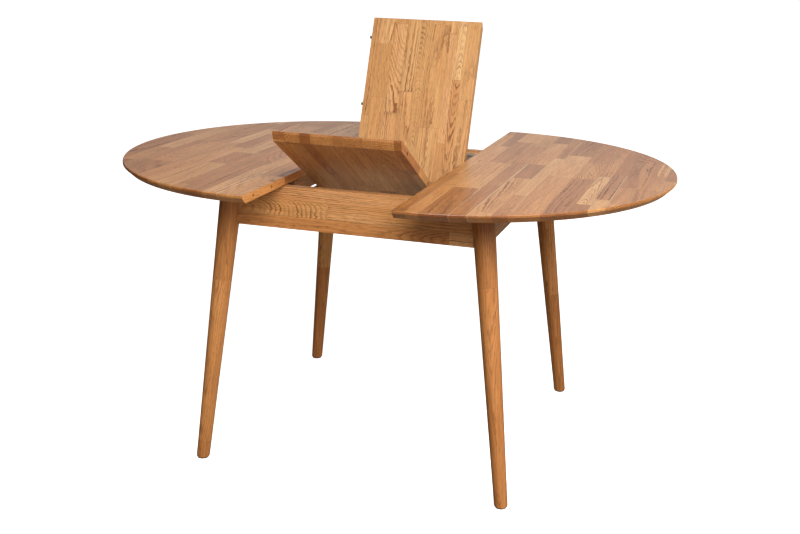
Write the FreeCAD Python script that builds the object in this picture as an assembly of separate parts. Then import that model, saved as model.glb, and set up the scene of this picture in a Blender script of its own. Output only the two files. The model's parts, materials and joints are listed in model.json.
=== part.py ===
import FreeCAD, Part
import os
from math import acos, cos, pi, radians, sin, sqrt, tan

# Round oak dining table with a butterfly leaf, open and with its leaf half unfolded.
# Millimetres, +Z up. The origin is on the floor under the middle of the leg frame.
# The two halves of the top slide apart along X, and the leaf swings about axes along X.

Vec = FreeCAD.Vector

# Top: overall form
table_height = 750.0
top_radius = 537.5
top_thickness = 20.0
rim_band = 6.5  # upright part of the rim, above the under-bevel
bevel_reach = 14.0  # how far the under-bevel runs in from the rim
rim_round = 2.5  # rounding of the upper edge of the rim
half_straight = 8.0  # short straight run of the rim beside the gap

# Leaf: two panels that fold together on their show faces
leaf_width = 308.0
leaf_side_clearance = 0.3  # left at each side when the halves close on the leaf
seam_gap = 0.5
pivot_drop = 52.0  # pivot axis below the show face of the rear panel
rear_panel_lift = 68.4  # angles above the horizontal, in degrees
front_panel_lift = 32.1
spare_opening = 19.7  # how much wider each half stands open than the leaf needs

# Leg frame
leg_spread = 314.0  # leg axes from the middle, at the top of the aprons
foot_spread_x = 399.0
foot_spread_y = 370.0
leg_top_radius = 27.5
foot_radius = 16.5
apron_thickness = 22.0
apron_height = 104.0
top_clearance = 2.0  # the halves glide this far above the aprons
joint_gap = 0.1  # between pieces glued or screwed together
glide_thickness = 3.0
glide_inset = 2.5
foot_arris = 1.5  # chamfer round the lower end of a leg
block_rail_gap = 20.0  # left between a corner block and the cross rail beside it
block_blunt = 6.0  # width of its flat towards the leg
block_height = 50.0

# Hanger bolts that pull the legs to the corner blocks
bolt_radius = 4.0
bolt_hole_play = 0.5
washer_radius = 10.0
washer_thickness = 1.6
nut_across_flats = 13.0
nut_thickness = 6.5
bolt_overrun = 4.0

# Extension slides: a fixed rail in each long apron, a bar and a runner for each half
slide_leg_gap = 1.9  # keeps the sliding bars clear of the legs
packer_end_gap = 6.5  # keeps the packers clear of the legs
rail_drop = 7.5  # below the top of the aprons
rail_height = 34.0
rail_depth = 12.0
rail_sheet = 2.0
rail_end_gap = 7.0  # to the inner face of the short aprons
slide_play = 0.4
runner_width = 26.0
runner_height = 44.0
runner_length = 240.0
runner_setback = 8.0  # behind the straight edge of its half
bar_overlap = 148.0  # length of bar screwed to the runner
bar_past_centre = 12.0
notch_play = 2.0  # round the runners, in the short aprons and over the corner blocks

# Toothed bars and pinion that make the halves move alike
gear_module = 1.5
pinion_teeth = 12
tooth_addendum = 1.0
tooth_dedendum = 1.4
tooth_backlash = 0.3
pressure_angle = radians(20.0)
pinion_face = 7.6
pinion_bore_play = 0.05
axle_radius = 2.0
axle_cap_radius = 3.4
axle_cap_thickness = 0.6

# Cross rails that carry the leaf's pivots
cross_rail_gap = 12.0  # from the leaf's edge
cross_rail_thickness = 24.0
cross_rail_height = 48.0
cross_rail_drop = 4.0  # below the slides
tenon_length = 12.0
tenon_thickness = 12.0
tenon_shoulder = 8.0

# Pivot hardware
pivot_plate_thickness = 4.0
pivot_plate_radius = 16.0
pivot_plate_foot = 8.0  # above the lower edge of the cross rail
pivot_pin_radius = 5.0
pivot_pin_play = 0.05
pivot_pin_fit = 0.02  # in its plate
pivot_pin_end_play = 0.2
pivot_pin_head_radius = 8.0
pivot_pin_head_length = 3.0
bracket_length = 80.0
bracket_width = 32.0
bracket_sheet = 3.0
bracket_lug_thickness = 4.0
bracket_edge_gap = 4.0  # from the leaf's edge
bracket_eye_radius = 11.0

# Concealed barrel hinges in the seam of the leaf
hinge_spacing = 105.0
barrel_cover = 1.0  # wood left above the barrel
barrel_floor = 3.0  # wood left below it
barrel_length = 24.0
barrel_fit = 0.05
tongue_inner = 4.0
tongue_cover = 2.0  # brass left round the tongue's lowest point
tongue_thickness = 4.0
tongue_play = 0.3
tongue_slack = 2.0  # degrees of slot beyond the tongue
tongue_top_angle = 20.0  # below the show face, in degrees
tongue_root_angle = 160.0

# Alignment dowels in the straight edges
dowel_radius = 4.0
dowel_reach = 8.0
dowel_socket = 16.0
dowel_fit = 0.02
dowel_tip = 1.5
dowel_hole_play = 0.3
dowel_hole_depth = 12.0
outer_dowel_inset = 54.0  # from the outer end of a panel
inner_dowel_inset = 242.0
swing_dowel_inset = 147.5  # left edge of the front panel, clear of the halves as it swings

# Countersunk screws
screw_radius = 1.5
screw_head_radius = 3.0
screw_head_height = 1.8
screw_fit = 0.02
top_screw_bite = 12.0
plate_screw_length = 24.0
bracket_screw_length = 14.0
rail_screw_length = 30.0
bar_screw_bite = 8.0
runner_screw_inset = 40.0
bar_screw_inset = 18.0
rail_screw_inset = 30.0
plate_screw_count = 2
plate_screw_pitch = 16.0
plate_screw_inset = 12.0
bracket_screw_inset = 10.0

# Places that follow from the sizes above
top_underside = table_height - top_thickness
apron_top = top_underside - top_clearance
apron_bottom = apron_top - apron_height
apron_inner = leg_spread - apron_thickness / 2
apron_outer = leg_spread + apron_thickness / 2
leaf_half_width = leaf_width / 2
half_opening = leaf_half_width + leaf_side_clearance + spare_opening
leaf_length = top_radius  # the leaf's ends line up with the rim
pivot_place = leaf_length / 4  # so that the folded leaf stows in the middle of the frame
pivot_height = table_height - pivot_drop
panel_middle = table_height - top_thickness / 2
bar_back = leg_spread - leg_top_radius - slide_leg_gap
packer_face = bar_back + slide_play + rail_sheet
rail_face = packer_face - rail_depth
rail_top = apron_top - rail_drop
rail_bottom = rail_top - rail_height
rail_middle = (rail_top + rail_bottom) / 2
rail_half_length = apron_inner - rail_end_gap
runner_outer = rail_face - slide_play
runner_inner = runner_outer - runner_width
runner_middle = (runner_outer + runner_inner) / 2
runner_bottom = top_underside - runner_height
runner_start = half_opening + runner_setback
slide_floor = min(rail_bottom, runner_bottom) - notch_play
block_bottom = slide_floor - block_height
bar_end = runner_start + bar_overlap
pitch_radius = gear_module * pinion_teeth / 2
tooth_pitch = pi * gear_module
bar_root = rail_middle + pitch_radius + tooth_dedendum
bar_top = rail_top - rail_sheet - slide_play
bar_middle = (bar_root + bar_top) / 2
cross_rail_inner = leaf_half_width + cross_rail_gap
cross_rail_outer = cross_rail_inner + cross_rail_thickness
block_reach = apron_inner - joint_gap - cross_rail_outer - block_rail_gap  # along each apron
cross_rail_top = min(rail_bottom, runner_bottom) - cross_rail_drop
cross_rail_bottom = cross_rail_top - cross_rail_height
plate_inner = cross_rail_inner - pivot_plate_thickness
plate_bottom = cross_rail_bottom + pivot_plate_foot
lug_outer = leaf_half_width - bracket_edge_gap
lug_inner = lug_outer - bracket_lug_thickness
barrel_radius = (top_thickness - barrel_cover - barrel_floor) / 2
barrel_height = table_height - barrel_cover - barrel_radius
tongue_outer = barrel_cover + 2 * barrel_radius - tongue_cover
outer_dowel = leaf_length - outer_dowel_inset
inner_dowel = leaf_length - inner_dowel_inset
swing_dowel = leaf_length - swing_dowel_inset
left, right = -1, 1
front, rear = -1, 1
side_names = {left: "left", right: "right"}
end_names = {front: "front", rear: "rear"}
corners = [(x, y) for y in (front, rear) for x in (left, right)]
X_AXIS, Z_AXIS = Vec(1, 0, 0), Vec(0, 0, 1)


def block(x_range, y_range, z_range):
    """Box between two limits on each axis, given in either order."""
    lows = [min(limits) for limits in (x_range, y_range, z_range)]
    spans = [abs(limits[1] - limits[0]) for limits in (x_range, y_range, z_range)]
    return Part.makeBox(spans[0], spans[1], spans[2], Vec(*lows))


def rod(radius, start, end):
    """Round bar from one point to another."""
    return Part.makeCylinder(radius, (end - start).Length, start, end - start)


def prism(points, sweep):
    """Solid swept from a flat closed outline."""
    outline = Part.makePolygon(points + points[:1])
    return Part.Face(outline).extrude(sweep)


def joined(shapes):
    """One solid from solids that share faces or overlap."""
    return shapes[0].fuse(shapes[1:]).removeSplitter()


def screw(seat, direction, length, growth=0.0):
    """Countersunk screw whose flat head lies at seat; growth makes the hole for it."""
    way = Vec(direction).normalize()
    head = Part.makeCone(screw_head_radius + growth, screw_radius + growth, screw_head_height, seat, way)
    shank = rod(screw_radius + growth, seat, seat + way * (length + growth))
    return joined([head, shank])


def screw_holes(seats, direction, length):
    return [screw(seat, direction, length, screw_fit) for seat in seats]


def save(name, shape):
    shape.exportStep("parts/" + name + ".step")


def save_group(name, shapes):
    save(name, Part.makeCompound(shapes))


# Legs: straight tapered rounds that splay out to the feet
def leg_axis_point(side, end, height):
    share = (apron_top - height) / apron_top
    x = leg_spread + (foot_spread_x - leg_spread) * share
    y = leg_spread + (foot_spread_y - leg_spread) * share
    return Vec(side * x, end * y, height)


def leg_cone(side, end, growth=0.0):
    """Tapered round of a leg, longer than the leg at both ends."""
    overrun = 2 * leg_top_radius
    top = leg_axis_point(side, end, apron_top + overrun)
    foot = leg_axis_point(side, end, -overrun)
    taper = (leg_top_radius - foot_radius) / apron_top
    top_size = leg_top_radius + taper * overrun + growth
    foot_size = foot_radius - taper * overrun + growth
    return Part.makeCone(foot_size, top_size, (top - foot).Length, foot, top - foot)


def bolt_line(side, end):
    """Where a hanger bolt starts in its leg, and its way inwards."""
    height = block_bottom + block_height / 2
    inwards = Vec(-side, -end, 0).normalize()
    return leg_axis_point(side, end, height), inwards


def bolt_room(side, end):
    """Clearance for a hanger bolt through the aprons and the corner block."""
    start, inwards = bolt_line(side, end)
    return rod(bolt_radius + bolt_hole_play, start, start + inwards * 2 * block_reach)


def leg(side, end):
    reach = foot_spread_x + foot_spread_y
    slab = block((-reach, reach), (-reach, reach), (glide_thickness, apron_top))
    start, inwards = bolt_line(side, end)
    bolt_hole = rod(bolt_radius + joint_gap, start, start + inwards * 2 * leg_top_radius)
    whole = leg_cone(side, end).common(slab)
    foot_edges = [one for one in whole.Edges if one.BoundBox.ZMax < glide_thickness + foot_arris / 2]
    return whole.makeChamfer(foot_arris, foot_edges).cut(bolt_hole)


def foot_glide(side, end):
    seat = leg_axis_point(side, end, glide_thickness)
    return rod(foot_radius - glide_inset, seat, Vec(seat.x, seat.y, 0))


# Aprons: boards coped round the legs, with mortises and notches
def tenon(side, end, growth=0.0):
    middle = (cross_rail_inner + cross_rail_outer) / 2
    half = tenon_thickness / 2 + growth
    tip = apron_inner + tenon_length + growth
    low = cross_rail_bottom + tenon_shoulder - growth
    high = cross_rail_top - tenon_shoulder + growth
    width = (side * (middle - half), side * (middle + half))
    return block(width, (end * apron_inner, end * tip), (low, high))


def long_apron(end):
    thickness = (end * apron_inner, end * apron_outer)
    board = block((-leg_spread, leg_spread), thickness, (apron_bottom, apron_top))
    cuts = [leg_cone(side, end, joint_gap) for side in (left, right)]
    cuts += [bolt_room(side, end) for side in (left, right)]
    cuts += [tenon(side, end, joint_gap) for side in (left, right)]
    cuts += screw_holes(rail_screw_seats(end), Vec(0, end, 0), rail_screw_length)
    return board.cut(cuts)


def short_apron(side):
    reach = apron_inner - joint_gap  # ends against the long aprons
    board = block((side * apron_inner, side * apron_outer), (-reach, reach), (apron_bottom, apron_top))
    cuts = [leg_cone(side, end, joint_gap) for end in (front, rear)]
    cuts += [bolt_room(side, end) for end in (front, rear)]
    for end in (front, rear):
        notch_y = (end * (runner_inner - notch_play), end * leg_spread)
        cuts.append(block((side * apron_inner, side * apron_outer), notch_y, (slide_floor, apron_top)))
    return board.cut(cuts)


# Corner blocks and the bolts that hold the legs
def corner_block(side, end):
    far = apron_inner - joint_gap
    outline = [
        (far, far - block_reach),
        (far, far - block_blunt),
        (far - block_blunt, far),
        (far - block_reach, far),
    ]
    shape = prism([Vec(side * x, end * y, block_bottom) for x, y in outline], Vec(0, 0, block_height))
    return shape.cut([leg_cone(side, end, joint_gap), bolt_room(side, end)])


def bolt_seat(side, end):
    """Where the bolt leaves the inner face of its corner block."""
    start, inwards = bolt_line(side, end)
    outwards = inwards * -1
    inner_face = (2 * (apron_inner - joint_gap) - block_reach) / sqrt(2)
    return start + inwards * (start.dot(outwards) - inner_face)


def leg_bolt(side, end):
    start, inwards = bolt_line(side, end)
    tip = bolt_seat(side, end) + inwards * (washer_thickness + nut_thickness + bolt_overrun)
    return rod(bolt_radius, start, tip)


def leg_washer(side, end):
    seat = bolt_seat(side, end)
    inwards = bolt_line(side, end)[1]
    face = seat + inwards * washer_thickness
    return rod(washer_radius, seat, face).cut(rod(bolt_radius + bolt_hole_play, seat, face))


def leg_nut(side, end):
    inwards = bolt_line(side, end)[1]
    seat = bolt_seat(side, end) + inwards * washer_thickness
    across = Vec(-inwards.y, inwards.x, 0)
    corner = nut_across_flats / sqrt(3)
    turns = [radians(60 * step) for step in range(6)]
    points = [seat + across * (corner * cos(turn)) + Z_AXIS * (corner * sin(turn)) for turn in turns]
    hole = rod(bolt_radius + joint_gap, seat, seat + inwards * nut_thickness)
    return prism(points, inwards * nut_thickness).cut(hole)


# Extension slides
def packer_half_length():
    return leg_spread - leg_top_radius - packer_end_gap


def rail_screw_seats(end):
    reach = packer_half_length() - rail_screw_inset
    seat_y = end * (packer_face - rail_sheet)
    return [Vec(x, seat_y, rail_middle) for x in (-reach, -reach / 2, reach / 2, reach)]


def slide_packer(end):
    reach = packer_half_length()
    depth = (end * packer_face, end * apron_inner)
    board = block((-reach, reach), depth, (rail_bottom, rail_top - rail_sheet))
    return board.cut(screw_holes(rail_screw_seats(end), Vec(0, end, 0), rail_screw_length))


def slide_rail(end):
    """Steel channel whose upper lip reaches back over the packer to the apron."""
    length = (-rail_half_length, rail_half_length)
    lip_reach = packer_half_length()
    lip_depth = (end * packer_face, end * (apron_inner - joint_gap))
    lip = block((-lip_reach, lip_reach), lip_depth, (rail_top - rail_sheet, rail_top))
    depth = (end * rail_face, end * packer_face)
    hollow_depth = (end * rail_face, end * (packer_face - rail_sheet))
    outer = block(length, depth, (rail_bottom, rail_top))
    hollow = block(length, hollow_depth, (rail_bottom + rail_sheet, rail_top - rail_sheet))
    axle_hole = rod(axle_radius + joint_gap, axle_point(end, packer_face), axle_point(end, rail_face))
    cuts = [hollow, axle_hole]
    cuts += screw_holes(rail_screw_seats(end), Vec(0, end, 0), rail_screw_length)
    return joined([outer, lip]).cut(cuts)


def axle_point(end, distance):
    return Vec(0, end * distance, rail_middle)


def pinion_axle(end):
    pin = rod(axle_radius, axle_point(end, packer_face), axle_point(end, rail_face))
    cap_start = rail_face - axle_cap_thickness
    cap = rod(axle_cap_radius, axle_point(end, rail_face), axle_point(end, cap_start))
    return joined([pin, cap])


def involute(angle):
    return tan(angle) - angle


def pinion_tooth(turn):
    """Corners of one tooth, as distance and direction from the axle."""
    base_radius = pitch_radius * cos(pressure_angle)
    pitch_half = (tooth_pitch / 2 - tooth_backlash) / 2 / pitch_radius
    flank = []
    for radius in (pitch_radius - tooth_dedendum, base_radius, pitch_radius, pitch_radius + tooth_addendum):
        slope = acos(min(1.0, base_radius / radius))
        half = pitch_half + involute(pressure_angle) - involute(slope)
        flank.append((radius, half))
    rising = [(radius, turn - half) for radius, half in flank]
    falling = [(radius, turn + half) for radius, half in reversed(flank)]
    return rising + falling


def pinion(end):
    """Spur pinion with a gap between teeth straight up and straight down."""
    step = 2 * pi / pinion_teeth
    corners_round = []
    for index in range(pinion_teeth):
        corners_round += pinion_tooth(pi / 2 + step * (index + 0.5))
    middle = (rail_face + bar_back) / 2
    near = middle - pinion_face / 2
    points = [
        Vec(radius * cos(turn), end * near, rail_middle + radius * sin(turn))
        for radius, turn in corners_round
    ]
    wheel = prism(points, Vec(0, end * pinion_face, 0))
    bore = rod(axle_radius + pinion_bore_play, axle_point(end, near), axle_point(end, near + pinion_face))
    return wheel.cut(bore)


def bar_outline(side):
    """Toothed bar of one half as (x, height above the pinion's middle), teeth down."""
    tip = pitch_radius - tooth_addendum
    root = pitch_radius + tooth_dedendum
    back = bar_top - rail_middle
    pitch_half = (tooth_pitch / 2 - tooth_backlash) / 2
    tip_half = pitch_half - tooth_addendum * tan(pressure_angle)
    root_half = pitch_half + tooth_dedendum * tan(pressure_angle)
    first = -int((bar_past_centre - root_half) / tooth_pitch)
    last = int(half_opening / tooth_pitch)
    points = [(-bar_past_centre, back), (-bar_past_centre, root)]
    for index in range(first, last + 1):
        place = index * tooth_pitch
        points += [
            (place - root_half, root),
            (place - tip_half, tip),
            (place + tip_half, tip),
            (place + root_half, root),
        ]
    points += [(bar_end, root), (bar_end, back)]
    return [(side * along, height) for along, height in points]


def bar_screw_seats(side, end):
    height = rail_middle - side * (bar_middle - rail_middle)
    places = (runner_start + bar_screw_inset, bar_end - bar_screw_inset)
    return [Vec(side * place, end * runner_inner, height) for place in places]


def bar_screw_length():
    return runner_width + slide_play + bar_screw_bite


def slide_bar(side, end):
    """The left half's bar lies above the pinion and the right half's below it."""
    outline = bar_outline(side)
    points = [Vec(along, end * rail_face, rail_middle - side * height) for along, height in outline]
    bar = prism(points, Vec(0, end * (bar_back - rail_face), 0))
    return bar.cut(screw_holes(bar_screw_seats(side, end), Vec(0, end, 0), bar_screw_length()))


def runner_screw_seats(side, end):
    near = runner_start + runner_screw_inset
    far = runner_start + runner_length - runner_screw_inset
    places = (near, (near + far) / 2, far)
    return [Vec(side * place, end * runner_middle, runner_bottom) for place in places]


def runner_screw_length():
    return runner_height + top_screw_bite


def runner(side, end):
    length = (side * runner_start, side * (runner_start + runner_length))
    board = block(length, (end * runner_inner, end * runner_outer), (runner_bottom, top_underside))
    cuts = screw_holes(bar_screw_seats(side, end), Vec(0, end, 0), bar_screw_length())
    cuts += screw_holes(runner_screw_seats(side, end), Z_AXIS, runner_screw_length())
    return board.cut(cuts)


# Halves of the top
def panel_section(x, end, inner, reach):
    """Upright slice of a panel from inner to its rim, with the band and the under-bevel."""
    outline = [
        (inner, top_underside),
        (reach - bevel_reach, top_underside),
        (reach, table_height - rim_band),
        (reach, table_height),
        (inner, table_height),
    ]
    points = [Vec(x, end * out, height) for out, height in outline]
    return Part.Face(Part.makePolygon(points + points[:1]))


def rounded_rim(board, is_rim):
    """Round the upper edges that is_rim picks by their middle."""
    level = [one for one in board.Edges if one.BoundBox.ZMin > table_height - rim_round / 2]
    return board.makeFillet(rim_round, [one for one in level if is_rim(one.CenterOfMass)])


def half_board(side):
    """Half-round board, straight for a little way from the gap."""
    middle = side * (half_opening + half_straight)
    start = panel_section(middle, front, 0, top_radius)
    round_part = start.revolve(Vec(middle, 0, 0), Vec(0, 0, side), 180)
    slices = [panel_section(side * half_opening, end, 0, top_radius) for end in (front, rear)]
    straights = [one.extrude(Vec(side * half_straight, 0, 0)) for one in slices]
    whole = joined([round_part] + straights)
    return rounded_rim(whole, lambda spot: abs(spot.x) > half_opening + half_straight / 4)


def edge_rod(side, edge, place, radius, inside, outside):
    """Round along X through a straight edge: how far it goes into the wood and out of it."""
    start = Vec(edge + side * inside, place, panel_middle)
    return rod(radius, start, Vec(edge - side * outside, place, panel_middle))


def dowel(side, edge, place):
    """Round-nosed peg standing out of an edge; side is the way into the wood."""
    peg = edge_rod(side, edge, place, dowel_radius, dowel_socket, dowel_reach)
    tip = edge - side * dowel_reach
    tip_edges = [one for one in peg.Edges if abs(one.CenterOfMass.x - tip) < dowel_tip / 2]
    return peg.makeChamfer(dowel_tip, tip_edges)


def dowel_bed(side, edge, place):
    return edge_rod(side, edge, place, dowel_radius + dowel_fit, dowel_socket + dowel_fit, 0)


def dowel_hole(side, edge, place):
    return edge_rod(side, edge, place, dowel_radius + dowel_hole_play, dowel_hole_depth, 0)


right_top_dowels = [-outer_dowel, -inner_dowel, inner_dowel, outer_dowel]
left_top_holes = [-outer_dowel, -swing_dowel, inner_dowel, outer_dowel]


def top_half(side):
    cuts = []
    for end in (front, rear):
        cuts += screw_holes(runner_screw_seats(side, end), Z_AXIS, runner_screw_length())
    if side == left:
        cuts += [dowel_hole(left, -half_opening, place) for place in left_top_holes]
    else:
        cuts += [dowel_bed(right, half_opening, place) for place in right_top_dowels]
    return half_board(side).cut(cuts)


# Cross rails, pivot plates and pins
def plate_screw_seats(side):
    low = plate_bottom + plate_screw_inset
    heights = [low + step * plate_screw_pitch for step in range(plate_screw_count)]
    return [Vec(side * plate_inner, pivot_place, height) for height in heights]


def cross_rail(side):
    board = block(
        (side * cross_rail_inner, side * cross_rail_outer),
        (-apron_inner, apron_inner),
        (cross_rail_bottom, cross_rail_top),
    )
    whole = joined([board, tenon(side, front), tenon(side, rear)])
    return whole.cut(screw_holes(plate_screw_seats(side), Vec(side, 0, 0), plate_screw_length))


def pivot_point(side, distance):
    return Vec(side * distance, pivot_place, pivot_height)


def pivot_plate(side):
    strip = block(
        (side * plate_inner, side * cross_rail_inner),
        (pivot_place - pivot_plate_radius, pivot_place + pivot_plate_radius),
        (plate_bottom, pivot_height),
    )
    ends = pivot_point(side, plate_inner), pivot_point(side, cross_rail_inner)
    plate = joined([strip, rod(pivot_plate_radius, *ends)])
    cuts = screw_holes(plate_screw_seats(side), Vec(side, 0, 0), plate_screw_length)
    return plate.cut(cuts + [rod(pivot_pin_radius + pivot_pin_fit, *ends)])


def pivot_pin(side):
    neck = lug_inner - pivot_pin_end_play
    shank = rod(pivot_pin_radius, pivot_point(side, neck), pivot_point(side, cross_rail_inner))
    crown = neck - pivot_pin_head_length
    head = rod(pivot_pin_head_radius, pivot_point(side, crown), pivot_point(side, neck))
    return joined([shank, head])


# Leaf: modelled flat in the open table, then swung to rest
def swing_rear(shape):
    """Turn a flat-lying piece about the pivots to where the rear panel rests."""
    shape.rotate(Vec(0, pivot_place, pivot_height), X_AXIS, rear_panel_lift)
    return shape


def swing_front(shape):
    """Fold a flat-lying piece about the seam, then carry it with the rear panel."""
    shape.rotate(Vec(0, 0, table_height), X_AXIS, -(rear_panel_lift + front_panel_lift))
    return swing_rear(shape)


def hinge_places():
    return [-hinge_spacing, 0, hinge_spacing]


def hinge_barrel(end, place, growth=0.0):
    start = Vec(place, end * seam_gap / 2, barrel_height)
    return rod(barrel_radius + growth, start, start + Vec(0, end * (barrel_length + growth), 0))


def ring_sector(place, inner, outer, thickness, top_angle, root_angle):
    """Slice of a ring about the seam, hanging below it from the rear side to the front side."""
    x = place - thickness / 2
    axis_point = Vec(x, 0, table_height)
    spread = (root_angle - top_angle) / 2
    middle = (root_angle + top_angle) / 2

    def at(radius, angle):
        return axis_point + Vec(0, radius * cos(radians(angle)), -radius * sin(radians(angle)))

    outer_arc = Part.Arc(at(outer, top_angle), at(outer, middle), at(outer, middle + spread)).toShape()
    inner_arc = Part.Arc(at(inner, root_angle), at(inner, middle), at(inner, top_angle)).toShape()
    root_line = Part.LineSegment(at(outer, root_angle), at(inner, root_angle)).toShape()
    top_line = Part.LineSegment(at(inner, top_angle), at(outer, top_angle)).toShape()
    outline = Part.Wire([outer_arc, root_line, inner_arc, top_line])
    return Part.Face(outline).extrude(Vec(thickness, 0, 0))


def front_barrel(place):
    tongue = ring_sector(
        place, tongue_inner, tongue_outer, tongue_thickness, tongue_top_angle, tongue_root_angle
    )
    return joined([hinge_barrel(front, place), tongue])


def tongue_slot(place):
    """Room for the tongue in the rear barrel."""
    return ring_sector(
        place,
        tongue_inner - tongue_play,
        tongue_outer + tongue_play,
        tongue_thickness + 2 * tongue_play,
        tongue_top_angle - tongue_slack,
        tongue_root_angle,
    )


def rear_barrel(place):
    return hinge_barrel(rear, place).cut(tongue_slot(place))


def leaf_board(end):
    whole = panel_section(-leaf_half_width, end, seam_gap / 2, leaf_length).extrude(Vec(leaf_width, 0, 0))
    return rounded_rim(whole, lambda spot: abs(spot.y) > leaf_length - rim_round)


def bracket_screw_seats(side):
    reach = bracket_length / 2 - bracket_screw_inset
    middle = side * (lug_outer - bracket_width / 2)
    height = top_underside - bracket_sheet
    return [Vec(middle, pivot_place + along, height) for along in (-reach, 0, reach)]


def leaf_bracket(side):
    """Plate under the rear panel with a lug that hangs down to the pivot pin."""
    plate_low = top_underside - bracket_sheet
    plate = block(
        (side * (lug_outer - bracket_width), side * lug_outer),
        (pivot_place - bracket_length / 2, pivot_place + bracket_length / 2),
        (plate_low, top_underside),
    )
    lug_web = block(
        (side * lug_inner, side * lug_outer),
        (pivot_place - bracket_eye_radius, pivot_place + bracket_eye_radius),
        (pivot_height, top_underside),
    )
    ends = pivot_point(side, lug_inner), pivot_point(side, lug_outer)
    whole = joined([plate, lug_web, rod(bracket_eye_radius, *ends)])
    cuts = screw_holes(bracket_screw_seats(side), Z_AXIS, bracket_screw_length)
    return whole.cut(cuts + [rod(pivot_pin_radius + pivot_pin_play, *ends)])


rear_dowels = [inner_dowel, outer_dowel]
rear_holes = [inner_dowel, outer_dowel]
front_dowels = [-swing_dowel, -outer_dowel]
front_holes = [-inner_dowel, -outer_dowel]


def rear_panel():
    cuts = [hinge_barrel(rear, place, barrel_fit) for place in hinge_places()]
    cuts += [dowel_bed(right, -leaf_half_width, place) for place in rear_dowels]
    cuts += [dowel_hole(left, leaf_half_width, place) for place in rear_holes]
    for side in (left, right):
        cuts += screw_holes(bracket_screw_seats(side), Z_AXIS, bracket_screw_length)
    return leaf_board(rear).cut(cuts)


def front_panel():
    cuts = [hinge_barrel(front, place, barrel_fit) for place in hinge_places()]
    cuts += [dowel_bed(right, -leaf_half_width, place) for place in front_dowels]
    cuts += [dowel_hole(left, leaf_half_width, place) for place in front_holes]
    return leaf_board(front).cut(cuts)


# Write every piece
os.makedirs("parts", exist_ok=True)

for side, end in corners:
    corner_name = end_names[end] + "_" + side_names[side]
    save("leg_" + corner_name, leg(side, end))
    save("corner_block_" + corner_name, corner_block(side, end))
save_group("foot_glides", [foot_glide(side, end) for side, end in corners])
save_group("leg_bolts", [leg_bolt(side, end) for side, end in corners])
save_group("leg_washers", [leg_washer(side, end) for side, end in corners])
save_group("leg_nuts", [leg_nut(side, end) for side, end in corners])

rail_screws = []
for end in (front, rear):
    save("apron_" + end_names[end], long_apron(end))
    save("slide_packer_" + end_names[end], slide_packer(end))
    save("slide_rail_" + end_names[end], slide_rail(end))
    save("pinion_axle_" + end_names[end], pinion_axle(end))
    save("pinion_" + end_names[end], pinion(end))
    rail_screws += [screw(seat, Vec(0, end, 0), rail_screw_length) for seat in rail_screw_seats(end)]
save_group("rail_screws", rail_screws)

plate_screws = []
bracket_screws = []
for side in (left, right):
    name = side_names[side]
    save("apron_" + name, short_apron(side))
    save("cross_rail_" + name, cross_rail(side))
    save("pivot_plate_" + name, pivot_plate(side))
    save("pivot_pin_" + name, pivot_pin(side))
    plate_screws += [screw(seat, Vec(side, 0, 0), plate_screw_length) for seat in plate_screw_seats(side)]
    save("top_" + name, top_half(side))
    runner_screws = []
    bar_screws = []
    for end in (front, rear):
        place_name = end_names[end] + "_" + name
        save("runner_" + place_name, runner(side, end))
        save("slide_bar_" + place_name, slide_bar(side, end))
        seats_below_top = runner_screw_seats(side, end)
        seats_in_bar = bar_screw_seats(side, end)
        runner_screws += [screw(seat, Z_AXIS, runner_screw_length()) for seat in seats_below_top]
        bar_screws += [screw(seat, Vec(0, end, 0), bar_screw_length()) for seat in seats_in_bar]
    save_group("runner_screws_" + name, runner_screws)
    save_group("bar_screws_" + name, bar_screws)
    save("leaf_bracket_" + name, swing_rear(leaf_bracket(side)))
    bracket_screws += [screw(seat, Z_AXIS, bracket_screw_length) for seat in bracket_screw_seats(side)]
save_group("plate_screws", plate_screws)
save_group("bracket_screws", [swing_rear(one) for one in bracket_screws])
save_group("top_dowels", [dowel(right, half_opening, place) for place in right_top_dowels])

save("leaf_panel_rear", swing_rear(rear_panel()))
save("leaf_panel_front", swing_front(front_panel()))
rear_pegs = [dowel(right, -leaf_half_width, place) for place in rear_dowels]
front_pegs = [dowel(right, -leaf_half_width, place) for place in front_dowels]
save_group("leaf_dowels_rear", [swing_rear(peg) for peg in rear_pegs])
save_group("leaf_dowels_front", [swing_front(peg) for peg in front_pegs])
save_group("hinge_barrels_rear", [swing_rear(rear_barrel(place)) for place in hinge_places()])
save_group("hinge_barrels_front", [swing_front(front_barrel(place)) for place in hinge_places()])

fold_turn = 180 - rear_panel_lift - front_panel_lift
print("fold angle at rest", round(fold_turn, 3))
print("fold per degree of swing", round((180 - fold_turn) / rear_panel_lift, 6))
seam = Vec(0, -pivot_place, pivot_drop)
seam_turn = radians(rear_panel_lift)
seam_y = pivot_place + seam.y * cos(seam_turn) - seam.z * sin(seam_turn)
seam_z = pivot_height + seam.y * sin(seam_turn) + seam.z * cos(seam_turn)
print("seam at rest, y and z", round(seam_y, 4), round(seam_z, 4))
print("pivot, y and z", pivot_place, pivot_height)
print("pinion, y and z", (rail_face + bar_back) / 2, rail_middle, "pitch radius", pitch_radius)
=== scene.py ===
# %% [markdown]
# # A round oak table with a butterfly leaf
#
# The table is caught half way through being made longer. The two halves of its round top are
# slid apart, and a leaf of two panels swings up between them like the wings of a butterfly.
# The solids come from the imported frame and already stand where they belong, in metres, so
# this lesson is about wood, metal, light and the camera.

# %% Load the frame
import json
from math import cos, radians, sin

import bpy
from mathutils import Matrix, Vector


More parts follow.
